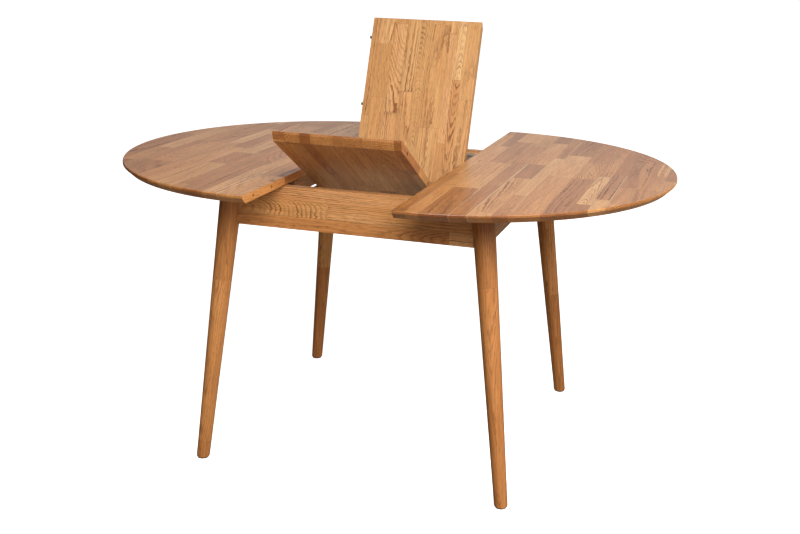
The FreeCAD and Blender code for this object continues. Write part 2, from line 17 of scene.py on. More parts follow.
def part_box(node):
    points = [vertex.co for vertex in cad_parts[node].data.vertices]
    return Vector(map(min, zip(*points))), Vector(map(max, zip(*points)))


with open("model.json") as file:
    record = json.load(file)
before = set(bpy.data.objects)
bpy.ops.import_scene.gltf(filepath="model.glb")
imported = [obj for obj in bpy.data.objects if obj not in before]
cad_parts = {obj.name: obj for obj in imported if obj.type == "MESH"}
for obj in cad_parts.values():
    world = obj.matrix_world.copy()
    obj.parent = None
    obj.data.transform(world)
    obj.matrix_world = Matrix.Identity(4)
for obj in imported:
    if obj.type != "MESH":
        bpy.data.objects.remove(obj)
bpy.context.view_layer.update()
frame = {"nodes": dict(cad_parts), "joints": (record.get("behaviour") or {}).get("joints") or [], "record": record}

nodes = frame["nodes"]

# %% [markdown]
# ## Two small tools
#
# Colours are given as the hex codes that a paint program shows. Shaders work in linear
# light, so one function turns the code into what a socket takes, along the sRGB curve. A second
# function adds a node with its settings and links, so that a material reads from top to bottom.
# A value can be a number, a colour, a node or one socket of a node. Only the sockets in use are
# looked at, because a Mix node keeps hidden ones for the other kinds of data. A Map Range node
# is used a lot: its inputs 0 to 4 are a value, the two ends of its span, and what they turn into.

# %% Colours and nodes
MATH = "ShaderNodeMath"
VECTOR = "ShaderNodeVectorMath"
NOISE = "ShaderNodeTexNoise"
CHANCE = "ShaderNodeTexWhiteNoise"
RANGE = "ShaderNodeMapRange"
JOIN, SPLIT = "ShaderNodeCombineXYZ", "ShaderNodeSeparateXYZ"
GROUP = "ShaderNodeGroup"
MIX = "ShaderNodeMix"
COLOUR = {"data_type": "RGBA"}
STAIN = {"data_type": "RGBA", "blend_type": "MULTIPLY"}


def linear(code):
    """Linear red, green, blue and alpha of a hex colour."""
    shares = [int(code[at:at + 2], 16) / 255 for at in (1, 3, 5)]
    return [one / 12.92 if one <= 0.04045 else ((one + 0.055) / 1.055) ** 2.4 for one in shares] + [1.0]


def socket_of(sockets, key):
    """The socket with that name or number, among those in use."""
    used = [one for one in sockets if one.enabled]
    return used[key] if isinstance(key, int) else next(one for one in used if one.name == key)


def add(tree, kind, settings=None, inputs=None):
    """A node of that kind, with its settings and with values or links on its inputs."""
    node = tree.nodes.new(kind)
    for name, value in (settings or {}).items():
        setattr(node, name, value)
    for key, value in (inputs or {}).items():
        into = socket_of(node.inputs, key)
        if isinstance(value, bpy.types.Node):
            value = socket_of(value.outputs, 0)
        if isinstance(value, bpy.types.NodeSocket):
            tree.links.new(value, into)
        else:
            into.default_value = value
    return node


print("oak, mid tone:", [round(one, 3) for one in linear("#bf8852")])

# %% [markdown]
# ## Oak, glued up from staves
#
# The boards of this table are not single planks. Short oak staves, 30 to 50 mm wide, are
# glued edge to edge and end to end, then sanded flat and oiled. The eye sees a patchwork:
# each stave has its own tone and its own cut through the tree. A picture of wood wrapped round
# the boards would break at every edge, so the wood is solid instead: each point works out
# which stave it lies in from its place in the board. A board's place has three directions,
# across the staves (X), along the grain (Y) and into the thickness (Z).
#
# Two slow noises make the staves uneven, one in width and one in length, and a row of staves
# starts at a place of its own. Every stave then draws six numbers, its chance and its luck. The
# sums are packed into node groups, so that all the boards share them.

# %% Which stave a point lies in
width_wander = (0.8, 0.9)  # waves of the slow noise to a stave, and staves that it pushes an edge
length_wander = (0.9, 1.1)
row_shift = 37.0  # rows start up to this many staves apart
second_draw = (31.7, 11.3, 5.9)  # any step will do, as it leads to other numbers


def new_group(name, inputs, outputs):
    """An empty node group and its inputs; a plain name is a number, a starred one a vector."""
    group = bpy.data.node_groups.new(name, "ShaderNodeTree")
    for names, way in ((inputs, "INPUT"), (outputs, "OUTPUT")):
        for one in names:
            kind = "NodeSocketVector" if one.endswith("*") else "NodeSocketFloat"
            group.interface.new_socket(one.strip("*"), in_out=way, socket_type=kind)
    return group, group.nodes.new("NodeGroupInput").outputs


def uneven(group, at, wander):
    """Cells of uneven size in one direction: the number of the cell, and the share across it."""
    slow = add(group, NOISE, {"noise_dimensions": "1D"}, {"W": at, "Scale": wander[0], "Detail": 0.0})
    moved = add(group, MATH, {"operation": "MULTIPLY_ADD"}, {0: slow, 1: wander[1], 2: at})
    return [add(group, MATH, {"operation": part}, {0: moved}) for part in ("FLOOR", "FRACT")]


def stave_grid():
    """The group that finds a point's stave, its place in the stave, and what the stave draws."""
    inputs = ["Place*", "Seed", "Width", "Length"]
    group, given = new_group("stave grid", inputs, ["Local*", "Chance*", "Luck*", "Across", "Edge"])
    place = add(group, SPLIT, None, {0: given["Place"]})
    evenly = add(group, MATH, {"operation": "DIVIDE"}, {0: place.outputs["X"], 1: given["Width"]})
    row_at = add(group, MATH, {"operation": "ADD"}, {0: evenly, 1: given["Seed"]})
    row, in_row = uneven(group, row_at, width_wander)

    row_seed = add(group, JOIN, None, {"X": row, "Y": given["Seed"]})
    start = add(group, CHANCE, {"noise_dimensions": "2D"}, {"Vector": row_seed})
    shift = add(group, MATH, {"operation": "MULTIPLY"}, {0: start.outputs["Value"], 1: row_shift})
    run = add(group, MATH, {"operation": "DIVIDE"}, {0: place.outputs["Y"], 1: given["Length"]})
    run_at = add(group, MATH, {"operation": "ADD"}, {0: run, 1: shift})
    stave, in_stave = uneven(group, run_at, length_wander)

    seed = add(group, JOIN, None, {"X": row, "Y": stave, "Z": given["Seed"]})
    step = add(group, VECTOR, {"operation": "ADD"}, {0: seed, 1: second_draw})
    chance, luck = [add(group, CHANCE, {"noise_dimensions": "3D"}, {"Vector": at}) for at in (seed, step)]

    middles, places, gaps = [], [], []
    for share, size in ((in_row, given["Width"]), (in_stave, given["Length"])):
        middles.append(add(group, MATH, {"operation": "SUBTRACT"}, {0: share, 1: 0.5}))
        places.append(add(group, MATH, {"operation": "MULTIPLY"}, {0: middles[-1], 1: size}))
        near = add(group, MATH, {"operation": "PINGPONG"}, {0: share, 1: 0.5})
        gaps.append(add(group, MATH, {"operation": "MULTIPLY"}, {0: near, 1: size}))
    local = add(group, JOIN, None, {"X": places[0], "Y": places[1], "Z": place.outputs["Z"]})
    edge = add(group, MATH, {"operation": "MINIMUM"}, dict(enumerate(gaps)))
    add(group, "NodeGroupOutput", None, {
        "Local": local, "Chance": chance.outputs["Color"], "Luck": luck.outputs["Color"],
        "Across": middles[0], "Edge": edge})
    return group


grid_group = stave_grid()
print("stave grid:", len(grid_group.nodes), "nodes")

# %% [markdown]
# ## Growth rings
#
# A tree is a bundle of rings round its heart, and a stave is a slice through it. Where the cut
# runs almost along the rings they show as nested arches, and where it stands across them as
# straight stripes. A Wave texture draws rings as well, but round one heart for all. Here each
# stave gets its own heart, off to one side and some way below its face, and the distance to it
# gives arches and stripes by one rule. Most hearts run along their stave and a few lean a lot,
# which is why the lean is a third power. Rings of oak are 2 to 4 mm apart and never quite
# round, so noises of three sizes push them about.

# %% Rings between a point and its heart
ring_spacing = 0.0032
heart_middle = (0.5, 0.5, -0.3)  # taken off a drawn number: to either side, and always below
heart_reach = (0.10, 0.0, -0.05)  # how far off a heart may lie, in metres
both_ways = ((2.0, 2.0, 2.0), (-1.0, -1.0, -1.0))  # turn 0 to 1 into -1 to 1
most_lean = (0.04, 0.0, 0.18)
cross_section = (1.0, 0.0, 1.0)
# Each noise: cells in a metre across, along and deep, its detail, and how many rings it pushes.
bends = [((24, 3, 24), 1.0, 1.6), ((80, 8, 80), 1.0, 0.6), ((260, 45, 260), 2.0, 0.9)]


def ring_count(group, given, own):
    """How many rings lie between a point and the heart of its stave."""
    off = add(group, VECTOR, {"operation": "SUBTRACT"}, {0: given["Chance"], 1: heart_middle})
    heart = add(group, VECTOR, {"operation": "MULTIPLY"}, {0: off, 1: heart_reach})
    tilt = add(group, VECTOR, {"operation": "MULTIPLY_ADD"}, {
        0: given["Luck"], 1: both_ways[0], 2: both_ways[1]})
    squared = add(group, VECTOR, {"operation": "MULTIPLY"}, {0: tilt, 1: tilt})
    rarely = add(group, VECTOR, {"operation": "MULTIPLY"}, {0: squared, 1: tilt})
    lean = add(group, VECTOR, {"operation": "MULTIPLY"}, {0: rarely, 1: most_lean})

    local = add(group, SPLIT, None, {0: given["Local"]})
    drift = add(group, VECTOR, {"operation": "SCALE"}, {0: lean, "Scale": local.outputs["Y"]})
    section = add(group, VECTOR, {"operation": "MULTIPLY"}, {0: given["Local"], 1: cross_section})
    from_heart = add(group, VECTOR, {"operation": "SUBTRACT"}, {0: section, 1: heart})
    from_axis = add(group, VECTOR, {"operation": "SUBTRACT"}, {0: from_heart, 1: drift})
    radius = add(group, VECTOR, {"operation": "LENGTH"}, {0: from_axis})
    count = add(group, MATH, {"operation": "DIVIDE"}, {0: radius.outputs["Value"], 1: ring_spacing})
    for cells, detail, push in bends:
        at = add(group, VECTOR, {"operation": "MULTIPLY"}, {0: own, 1: cells})
        bend = add(group, NOISE, None, {"Vector": at, "Scale": 1.0, "Detail": detail})
        count = add(group, MATH, {"operation": "MULTIPLY_ADD"}, {0: bend, 1: push, 2: count})
    return count


print("one ring every", ring_spacing * 1000, "mm, pushed by", len(bends), "noises")

# %% [markdown]
# ## Years, fibres and pores
#
# Each ring starts sharply with open, dark spring wood and fades into dense, pale summer wood, so
# its profile is a saw tooth. No two years leave the same ring, so every ring also draws its own
# strength, and a slow noise lets it come and go. Fibres are a noise drawn out along the grain.
# Pores are short dark dashes, the peaks of another such noise, and they crowd in the spring
# wood. Real ones are too fine for the picture and are drawn in bundles.

# %% Years, fibres and pores
stave_distance = 9.0  # metres; staves read their noises up to this far apart, so no two are alike
spring_share = 0.5  # of a ring's width
year_strength = (0.35, 1.2)  # of the faintest year and the darkest
# A ring comes and goes: cells in a metre, the span of their noise, and what is left at its low end.
fading_cells, fading_span, faintest = (26.0, 5.0, 26.0), (0.35, 0.65), 0.35
fibre_width = 0.0035  # wood fibres are far finer; bundles of this width still show
fibre_cells = (1 / fibre_width, 9.0, 1 / fibre_width)
pore_width, pore_length = 0.0024, 0.018  # real ones are 0.3 mm wide; drawn in groups, so they show
pore_cells = (1 / pore_width, 1 / pore_length, 1 / pore_width)
pore_span = (0.52, 0.66)  # of the noise, from no pore to an open one
spring_pores, summer_pores = 0.6, 0.4


def growth_rings():
    """The group that draws rings, fibres and pores at a point of a stave."""
    group, given = new_group(
        "growth rings", ["Place*", "Local*", "Chance*", "Luck*"], ["Ring", "Fibre", "Pore"])
    apart = add(group, VECTOR, {"operation": "SCALE"}, {0: given["Chance"], "Scale": stave_distance})
    own = add(group, VECTOR, {"operation": "ADD"}, {0: given["Place"], 1: apart})
    count = ring_count(group, given, own)
    phase = add(group, MATH, {"operation": "FRACT"}, {0: count})
    fade = add(group, RANGE, None, {0: phase, 1: 0.0, 2: spring_share, 3: 1.0, 4: 0.0})
    year = add(group, MATH, {"operation": "FLOOR"}, {0: count})
    split = add(group, SPLIT, None, {0: given["Chance"]})
    year_seed = add(group, JOIN, None, {"X": year, "Y": split.outputs["X"], "Z": split.outputs["Y"]})
    harvest = add(group, CHANCE, {"noise_dimensions": "3D"}, {"Vector": year_seed})
    strength = add(group, RANGE, None, {
        0: harvest.outputs["Value"], 1: 0.0, 2: 1.0, 3: year_strength[0], 4: year_strength[1]})
    line = add(group, MATH, {"operation": "MULTIPLY"}, {0: fade, 1: strength})

    noises = []
    for cells, detail in ((fading_cells, 1.0), (fibre_cells, 3.0), (pore_cells, 1.0)):
        at = add(group, VECTOR, {"operation": "MULTIPLY"}, {0: own, 1: cells})
        noises.append(add(group, NOISE, None, {"Vector": at, "Scale": 1.0, "Detail": detail}))
    fading, fibre, pore_noise = noises
    clear = add(group, RANGE, None, {0: fading, 1: fading_span[0], 2: fading_span[1], 3: faintest, 4: 1.0})
    ring = add(group, MATH, {"operation": "MULTIPLY"}, {0: line, 1: clear})
    pores = add(group, RANGE, None, {0: pore_noise, 1: pore_span[0], 2: pore_span[1]})
    crowd = add(group, MATH, {"operation": "MULTIPLY_ADD"}, {0: line, 1: spring_pores, 2: summer_pores})
    pore = add(group, MATH, {"operation": "MULTIPLY"}, {0: pores, 1: crowd})
    add(group, "NodeGroupOutput", None, {"Ring": ring, "Fibre": fibre, "Pore": pore})
    return group


ring_group = growth_rings()
print("growth rings:", len(ring_group.nodes), "nodes")

# %% [markdown]
# ## The tone of a stave
#
# Heartwood goes from straw to brown from stave to stave, and some staves lean to pink. The rear
# panel of the leaf, which lies under the others when the table is closed, gets paler tones, more
# straw than honey. The wood inside the frame gets the darkest tones, as painted shade for the
# inside of the frame. A colour ramp holds the tones of one wood. Each stave picks its own place on
# the ramp, and slow clouds of tone drift through the board.

# %% Tones
honey_tones = ["#8a552e", "#a86d3a", "#bd8047", "#cf9458", "#dfad76"]
straw_tones = ["#a8743f", "#bd8750", "#ca985f", "#d5a770", "#e0b884"]
# The inner tones are dark as painted shade for the wood inside the frame.
inner_shade_tones = ["#40291a", "#4e3321", "#5b3d28", "#68482f", "#755337"]
blush_stain = "#faefea"
noise_span = (0.3, 0.7)  # a noise hardly ever leaves it
cloud_cells, cloud_drift = (30.0, 5.0, 30.0), 0.1


def stave_tone(group, given, luck, palette):
    """The ground colour of a stave, from its own place on the ramp."""
    cloud_at = add(group, VECTOR, {"operation": "MULTIPLY"}, {0: given["Place"], 1: cloud_cells})
    cloud = add(group, NOISE, None, {"Vector": cloud_at, "Scale": 1.0, "Detail": 2.0})
    drift = add(group, RANGE, None, {
        0: cloud, 1: noise_span[0], 2: noise_span[1], 3: -cloud_drift, 4: cloud_drift})
    own = add(group, MATH, {"operation": "SUBTRACT"}, {0: luck.outputs["Y"], 1: 0.5})
    spread = add(group, MATH, {"operation": "MULTIPLY_ADD"}, {
        0: own, 1: given["Spread"], 2: given["Middle"]})
    tone = add(group, MATH, {"operation": "ADD"}, {0: spread, 1: drift})
    tones = add(group, "ShaderNodeValToRGB", None, {0: tone})
    stops = tones.color_ramp.elements
    for index in range(1, len(palette) - 1):
        stops.new(index / (len(palette) - 1))
    for stop, code in zip(stops, palette):
        stop.color = linear(code)
    return add(group, MIX, STAIN, {"Factor": luck.outputs["Z"], "A": tones, "B": linear(blush_stain)})


print("tones of each wood:", len(honey_tones), len(straw_tones), len(inner_shade_tones))

# %% [markdown]
# ## Lines, streaks and pores
#
# The rings stain a stave with thin brown lines, fine streaks follow the fibres, and dark oil
# stands in the open pores. Staves cut flat along the rings show the strongest arches, so each
# stave has a figure of its own. A stain multiplies the colour below it, as a thin coat of oil
# does, which keeps the wood warm. A painted line would look grey.

# %% Lines, streaks and pores
ring_stain = "#a8875f"
pore_stain = "#6b4526"
pore_darkness = 0.55
plain_cut, figure_ends = 0.2, (0.55, 1.5)  # staves with less luck than this are the plainest
streak_ends = (0.82, 1.14)


def figured(group, given, luck, ground):
    """The ground colour of a stave with its rings, fibres and pores."""
    figure = add(group, RANGE, None, {
        0: luck.outputs["X"], 1: plain_cut, 2: 1.0, 3: figure_ends[0], 4: figure_ends[1]})
    lines = add(group, MATH, {"operation": "MULTIPLY"}, {0: figure, 1: given["Lines"]})
    line = add(group, MATH, {"operation": "MULTIPLY"}, {0: given["Ring"], 1: lines})
    ringed = add(group, MIX, STAIN, {"Factor": line, "A": ground, "B": linear(ring_stain)})
    streak = add(group, RANGE, None, {
        0: given["Fibre"], 1: noise_span[0], 2: noise_span[1], 3: streak_ends[0], 4: streak_ends[1]})
    streaked = add(group, VECTOR, {"operation": "SCALE"}, {0: ringed, "Scale": streak})
    pore = add(group, MATH, {"operation": "MULTIPLY"}, {0: given["Pore"], 1: pore_darkness})
    return add(group, MIX, COLOUR, {"Factor": pore, "A": streaked, "B": linear(pore_stain)})


print("streaks from", streak_ends[0], "to", streak_ends[1], "of the tone")

# %% [markdown]
# ## Sapwood, glue joints and end grain
#
# Here and there a stave was cut close under the bark: its edge is pale sapwood, which shows as a
# bright line beside the glue joint. Where a board ends, the open fibres have drunk more oil, so
# whatever faces along the grain is stained darker, in some staves hardly and in others a lot. Faces
# that look square along X, such as the long edges of the tops, are made lighter: painted light, as
# the lamp at the right falls on them. All of it follows from a point's place in its stave and from
# the way its surface faces, so no edge has to be painted by hand.

# %% The colours of the wood
sapwood = "#e6c294"
sapwood_share = 0.06  # of a stave's width
under_bark = 0.7  # staves with more luck than this have sapwood
joint_width = 0.0011  # a glue line is a tenth of this; drawn as wide as still shows
joint_stain = 0.3
end_stain = "#a68955"
thirst_ends = (0.2, 1.0)
square_on = 0.95  # a surface that faces across the staves at least this squarely is made lighter, as painted light


def wood_colours(name, palette):
    """The group that colours one wood, and says where its surface is hollow."""
    group, given = new_group(
        name, ["Place*", "Facing*", "Luck*", "Across", "Edge", "Ring", "Fibre", "Pore",
               "Middle", "Spread", "Lines", "Sapwood", "Edges"], ["Colour*", "Hollow"])
    luck = add(group, SPLIT, None, {0: given["Luck"]})
    ground = stave_tone(group, given, luck, palette)
    grained = figured(group, given, luck, ground)

    bark_side = add(group, RANGE, None, {
        0: given["Across"], 1: 0.5 - sapwood_share, 2: 0.5 - sapwood_share / 2,
        3: 0.0, 4: given["Sapwood"]})
    near_bark = add(group, MATH, {"operation": "GREATER_THAN"}, {0: luck.outputs["X"], 1: under_bark})
    bark = add(group, MATH, {"operation": "MULTIPLY"}, {0: bark_side, 1: near_bark})
    sapped = add(group, MIX, COLOUR, {"Factor": bark, "A": grained, "B": linear(sapwood)})
    joint = add(group, RANGE, None, {0: given["Edge"], 1: 0.0, 2: joint_width, 3: joint_stain, 4: 0.0})
    jointed = add(group, MIX, COLOUR, {"Factor": joint, "A": sapped, "B": linear(pore_stain)})

    facing = add(group, SPLIT, None, {0: given["Facing"]})
    sides, ends = [add(group, MATH, {"operation": "ABSOLUTE"}, {0: facing.outputs[way]}) for way in "XY"]
    thirst = add(group, RANGE, None, {
        0: luck.outputs["Z"], 1: 0.0, 2: 1.0, 3: thirst_ends[0], 4: thirst_ends[1]})
    drunk = add(group, MATH, {"operation": "MULTIPLY"}, {0: ends, 1: thirst})
    soaked = add(group, MIX, STAIN, {"Factor": drunk, "A": jointed, "B": linear(end_stain)})
    # Painted light: faces turned square along X are made lighter by this factor.
    painted_side_light = add(group, RANGE, None, {0: sides, 1: square_on, 2: 1.0, 3: 1.0, 4: given["Edges"]})
    side_lit = add(group, VECTOR, {"operation": "SCALE"}, {0: soaked, "Scale": painted_side_light})
    hollow = add(group, MATH, {"operation": "ADD"}, {0: given["Pore"], 1: joint})
    add(group, "NodeGroupOutput", None, {"Colour": side_lit, "Hollow": hollow})
    return group


honey_oak, straw_oak = wood_colours("honey oak", honey_tones), wood_colours("straw oak", straw_tones)
# The darkest wood paints in the shade that lies inside the frame.
shade_dark_oak = wood_colours("oak darkened as shade", inner_shade_tones)
print("wood colours:", len(honey_oak.nodes), "nodes for each wood")

# %% [markdown]
# ## Oiled oak
#
# Oil soaks in and leaves no film, so oak keeps a soft sheen rather than a gloss: index 1.5 like
# most oils and resins, roughness about 0.4, rougher in the open spring wood. One function makes
# the wood for one board: it turns the board to lie with its staves along Y, counts from the
# board's middle, and hands each point through the three groups above. A board can have a look of
# its own, and whatever that leaves out comes from the plain look.

# %% The finish of one board
plain_look = {"Middle": 0.5, "Spread": 0.5, "Lines": 0.8, "Sapwood": 0.0, "Edges": 1.0}
oil_index = 1.5
oiled_rough = (0.38, 0.46)  # on summer wood and on spring wood
hollow_strength, hollow_depth = 0.35, 0.0004
own_finishes = []


def new_material(name):
    """An empty material, noted down as one of this lesson's finishes."""
    material = bpy.data.materials.new(name)
    own_finishes.append(material.name)
    material.use_nodes = True
    material.node_tree.nodes.clear()
    return material, material.node_tree


def dress(node, material):
    """Give a solid its finish, in the material slots that it came with."""
    for slot in nodes[node].material_slots:
        slot.material = material


def glue_up(node, turn, seed, stave, wood, look, kind="oiled_oak"):
    """Dress a board in staves of its own, turned to lie along Y and counted from its middle."""
    material, tree = new_material(kind + "_" + node)
    low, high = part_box(node)
    way = turn.to_euler("XYZ")
    where = add(tree, "ShaderNodeTexCoord")
    facing = add(tree, "ShaderNodeMapping", {"vector_type": "VECTOR"}, {
        "Vector": where.outputs["Normal"], "Rotation": way})
    place = add(tree, "ShaderNodeMapping", None, {
        "Vector": where.outputs["Object"], "Rotation": way, "Location": -(turn @ (low + high)) / 2})
    grid = add(tree, GROUP, {"node_tree": grid_group}, {
        "Place": place, "Seed": seed, "Width": stave[0], "Length": stave[1]})
    rings = add(tree, GROUP, {"node_tree": ring_group}, {
        "Place": place, **{one: grid.outputs[one] for one in ("Local", "Chance", "Luck")}})
    colours = add(tree, GROUP, {"node_tree": wood}, {
        "Place": place, "Facing": facing, **plain_look, **look,
        **{one: grid.outputs[one] for one in ("Luck", "Across", "Edge")},
        **{one: rings.outputs[one] for one in ("Ring", "Fibre", "Pore")}})
    rough = add(tree, RANGE, None, {
        0: rings.outputs["Ring"], 1: 0.0, 2: 1.0, 3: oiled_rough[0], 4: oiled_rough[1]})
    bump = add(tree, "ShaderNodeBump", {"invert": True}, {
        "Strength": hollow_strength, "Distance": hollow_depth, "Height": colours.outputs["Hollow"]})
    shader = add(tree, "ShaderNodeBsdfPrincipled", None, {
        "Base Color": colours.outputs["Colour"], "Roughness": rough, "Normal": bump, "IOR": oil_index})
    add(tree, "ShaderNodeOutputMaterial", None, {"Surface": shader})
    dress(node, material)


print("plain look of a board:", plain_look)

# %% [markdown]
# ## Which way the grain runs
#
# Grain always runs along a board's length. On the halves of the top it runs along the gap,
# on the aprons along the apron and on a leg down the leg. The leaf's panels lean, so the frame's
# own joints say how far each has to turn to lie flat: the swing at its lower limit lays the
# rear panel level with the tops, and the fold that goes with it does the same for the front one.

# %% The round top and its leaf
def board(across, along):
    """The turn that brings a board's own directions onto X and Y."""
    across, along = Vector(across).normalized(), Vector(along).normalized()
    return Matrix((across, along, across.cross(along)))


joints = {joint["name"]: joint for joint in frame["joints"]}
swing = radians(joints["leaf_swing"]["range_deg"][0])
couplings = frame["record"]["behaviour"]["couplings"]
fold_ratio = next(one["ratio"] for one in couplings if one["joint"] == "leaf_fold")
rear_turn = Matrix.Rotation(swing, 3, "X")
front_turn = Matrix.Rotation(swing * (1 + fold_ratio), 3, "X")
top_turn = board((1, 0, 0), (0, 1, 0))
top_stave, leaf_stave = (0.046, 0.30), (0.037, 0.30)  # width and length
# Painted light makes the tops' faces along X about a third lighter.
top_look = {"Middle": 0.565, "Spread": 0.72, "Lines": 1.15, "Sapwood": 0.6, "Edges": 1.35}
rear_look = {"Middle": 0.56, "Spread": 0.4, "Lines": 1.2}
front_look = {"Middle": 0.6, "Lines": 1.1}
# The seed after a board's turn was chosen for a patchwork like the photo's.
glue_up("top_left", top_turn, 103, top_stave, honey_oak, top_look)
glue_up("top_right", top_turn, 205, top_stave, honey_oak, top_look)
glue_up("leaf_panel_rear", rear_turn, 325, leaf_stave, straw_oak, rear_look)
glue_up("leaf_panel_front", front_turn, 406, leaf_stave, honey_oak, front_look)
print("panels turned by", round(swing, 4), "and", round(swing * (1 + fold_ratio), 4))

# %% [markdown]
# ## Legs, aprons and the wood inside
#
# The aprons are three staves high. A leg is turned from a block of upright staves, so its
# pattern has to follow its own slanting axis, which is measured from its foot and its top.
# The runners, packers, cross rails and corner blocks inside are only planed and thinly oiled.
# They get the darkest oak tones, which paint in the shade inside the frame.

# %% The leg frame
ring_slack = 0.004  # points this close to a leg's end belong to the ring round it
stave_side = Vector((0.35, 1, 0))  # the flat side of a leg's staves faces this way


def leg_turn(node):
    """Along the leg's own axis, from the middle of its foot to the middle of its top."""
    low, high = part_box(node)
    ends = []
    for level in (low.z, high.z):
        ring = [one.co for one in nodes[node].data.vertices if abs(one.co.z - level) < ring_slack]
        ends.append(sum(ring, Vector()) / len(ring))
    axis = (ends[1] - ends[0]).normalized()
    return board(axis.cross(stave_side), axis)


along_x, along_y = board((0, 0, 1), (1, 0, 0)), board((0, 0, 1), (0, 1, 0))
apron_stave, leg_stave, inner_stave = (0.036, 0.36), (0.03, 0.42), (0.06, 0.9)
apron_look = {"Spread": 0.35, "Lines": 1.15}
leg_look = {"Spread": 0.45, "Lines": 1.3}
# Straight from the planer: flat and plain, so that the figure hardly shows.
planed = ({"Spread": 0.6, "Lines": 0.4}, "planed_oak")
# The front apron's middle tone is raised as painted light, and the left one's lowered as painted shade inside the
# frame.
for seed, side, turn, middle in ((504, "front", along_x, 0.8), (505, "rear", along_x, 0.73),
                                 (510, "left", along_y, 0.22), (511, "right", along_y, 0.43)):
    glue_up("apron_" + side, turn, seed, apron_stave, honey_oak, {"Middle": middle, **apron_look})
for seed, leg in enumerate(("front_left", "front_right", "rear_left", "rear_right"), 700):
    glue_up("leg_" + leg, leg_turn("leg_" + leg), seed, leg_stave, honey_oak, leg_look)
    glue_up("corner_block_" + leg, along_x, seed + 10, inner_stave, shade_dark_oak, *planed)
for seed, side in ((70, "left"), (71, "right")):
    glue_up("cross_rail_" + side, along_y, seed, inner_stave, shade_dark_oak, *planed)
for seed, end in ((80, "front"), (90, "rear")):
    for piece in ("slide_packer_" + end, "runner_%s_left" % end, "runner_%s_right" % end):
        glue_up(piece, along_x, seed, inner_stave, shade_dark_oak, *planed)
print("boards dressed:", len(own_finishes))

# %% [markdown]
# ## Metal and plastic
#
# The hardware is small, but it shows in the gap beside the leaf. One function makes a finish
# whose colour and roughness wander together between two ends, over grains of a given size. The
# grains can be drawn out along X, the way that a rail is pulled through its die. Metals get
# their colour from reflection alone, and the plastics get the index of their resin.

# %% Hardware
grain_strength, grain_depth = 0.2, 0.1  # depth as a share of the finest grain


def hardware(name, dark, bright, grain, rough, shader_inputs):
    """A finish that wanders between two colours and between two roughnesses."""
    material, tree = new_material(name)
    where = add(tree, "ShaderNodeTexCoord")
    cells = add(tree, VECTOR, {"operation": "MULTIPLY"}, {
        0: where.outputs["Object"], 1: tuple(1 / size for size in grain)})
    wander = add(tree, NOISE, None, {"Vector": cells, "Scale": 1.0, "Detail": 3.0})
    share = add(tree, RANGE, None, {0: wander, 1: noise_span[0], 2: noise_span[1]})
    colour = add(tree, MIX, COLOUR, {"Factor": share, "A": linear(dark), "B": linear(bright)})
    matt = add(tree, RANGE, None, {0: share, 1: 0.0, 2: 1.0, 3: rough[1], 4: rough[0]})
    bump = add(tree, "ShaderNodeBump", None, {
        "Strength": grain_strength, "Distance": min(grain) * grain_depth, "Height": wander})
    shader = add(tree, "ShaderNodeBsdfPrincipled", None, {
        "Base Color": colour, "Roughness": matt, "Normal": bump, **shader_inputs})
    add(tree, "ShaderNodeOutputMaterial", None, {"Surface": shader})
    return material


metal = {"Metallic": 1.0}
# Cold-drawn steel: grey, with faint lines along the pull; a few times coarser than real ones.
drawn_steel = hardware("drawn_steel", "#b9bbbc", "#e2e4e4", (0.08, 0.0015, 0.0015), (0.42, 0.58), metal)
# Zinc plate: paler and bluer, clouded where the bath left thicker patches.
zinc_plate = hardware("zinc_plated_steel", "#a2a7ad", "#c6cacd", (0.003, 0.003, 0.003), (0.26, 0.4), metal)
# Turned steel pins, dulled by oil and handling.
dull_steel = hardware("dull_turned_steel", "#57514a", "#716a60", (0.002, 0.002, 0.002), (0.4, 0.55), metal)
# Turned brass, gone a little brown.
brass = hardware("turned_brass", "#a8843f", "#cfae66", (0.0015, 0.004, 0.004), (0.28, 0.42), metal)
# Nylon as moulded: ivory, a soft sheen and a little light inside.
nylon = hardware("moulded_nylon", "#d9d2bf", "#ebe6d8", (0.004, 0.004, 0.004), (0.4, 0.5), {
    "IOR": 1.53, "Subsurface Weight": 0.1, "Subsurface Scale": 0.002})
# Polyethylene glides, brown and waxy.
polyethylene = hardware("moulded_polyethylene", "#2c231c", "#43362b", (0.003, 0.003, 0.003), (0.45, 0.6), {
    "IOR": 1.51})

finishes = [
    (("slide_rail", "slide_bar", "pinion_axle"), drawn_steel),
    (("leg_bolts", "leg_washers", "leg_nuts", "pivot_plate", "pivot_pin", "leaf_bracket"), zinc_plate),
    (("rail_screws", "plate_screws", "runner_screws", "bar_screws", "bracket_screws"), zinc_plate),
    (("top_dowels", "leaf_dowels"), dull_steel),
    (("hinge_barrels",), brass),
    (("pinion_front", "pinion_rear"), nylon),
    (("foot_glides",), polyethylene),
]
for starts, finish in finishes:
    for node in [one for one in nodes if one.startswith(starts)]:
        dress(node, finish)
dressed = set(own_finishes)
bare = [one for one in nodes if not {slot.material.name for slot in nodes[one].material_slots} <= dressed]
print("hardware finishes:", len(finishes), "groups; solids without a finish:", bare)

# %% [markdown]
# ## Floor
#
# The photo is a studio cut-out on an even white ground. The floor is a wide sheet painted
# white, and walls far away carry the white on where somebody looks from lower down. The paint
# glows a little itself, so that it stays as even as in the photo. Its glow doesn't reach the
# table, because in the photo the underside of the front panel stays dark. The walls let the
# light of the room through.

